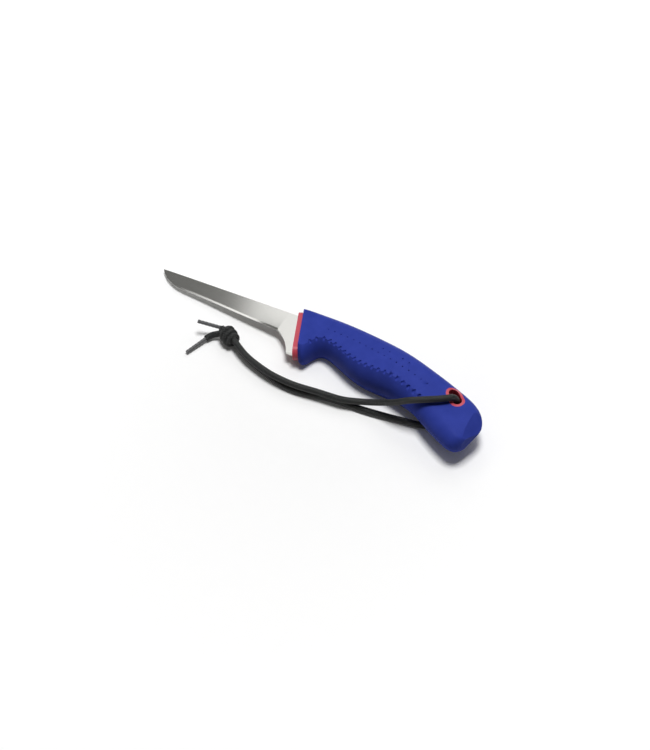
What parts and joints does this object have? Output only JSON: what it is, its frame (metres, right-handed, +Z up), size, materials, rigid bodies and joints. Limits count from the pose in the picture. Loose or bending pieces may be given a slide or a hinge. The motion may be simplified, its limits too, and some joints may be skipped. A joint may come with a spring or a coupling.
{
  "type": "fillet knife",
  "caption": "Fillet knife lying on its side: narrow steel blade with a stepped ricasso, soft curved grip on a hard moulded core with a collar and eyelet, and a knotted cord lanyard.",
  "frame": {"origin": "on the flat lower panel of the grip that the knife rests on, near the middle of that panel", "axes": "+X along the knife from tip to butt, +Y towards the blade's spine, +Z up from the surface it lies on"},
  "size_m": [0.2294, 0.0578, 0.0269],
  "materials": {
    "blade_steel": "fine lengthwise brushing",
    "core_plastic": "smooth red moulding",
    "grip_rubber": "matte blue soft moulding with fine dimples",
    "lanyard_cord": "braided black cord",
    "aglet_plastic": "crimped grey sleeve"
  },
  "bodies": {
    "knife": {"blade": "blade_steel", "handle_core": "core_plastic", "grip": "grip_rubber"},
    "lanyard": {"lanyard_near_leg": "lanyard_cord", "lanyard_far_leg": "lanyard_cord", "lanyard_lower_tail": "lanyard_cord", "lanyard_knot": "lanyard_cord", "lower_aglet": "aglet_plastic", "upper_aglet": "aglet_plastic"}
  },
  "joints": [
    {"name": "lanyard_swing", "type": "hinge", "parent": "knife", "child": "lanyard", "pos_m": [0.0717, -0.0162, 0.0137], "axis": [0, 0, 1], "range_deg": [0, 60]}
  ]
}
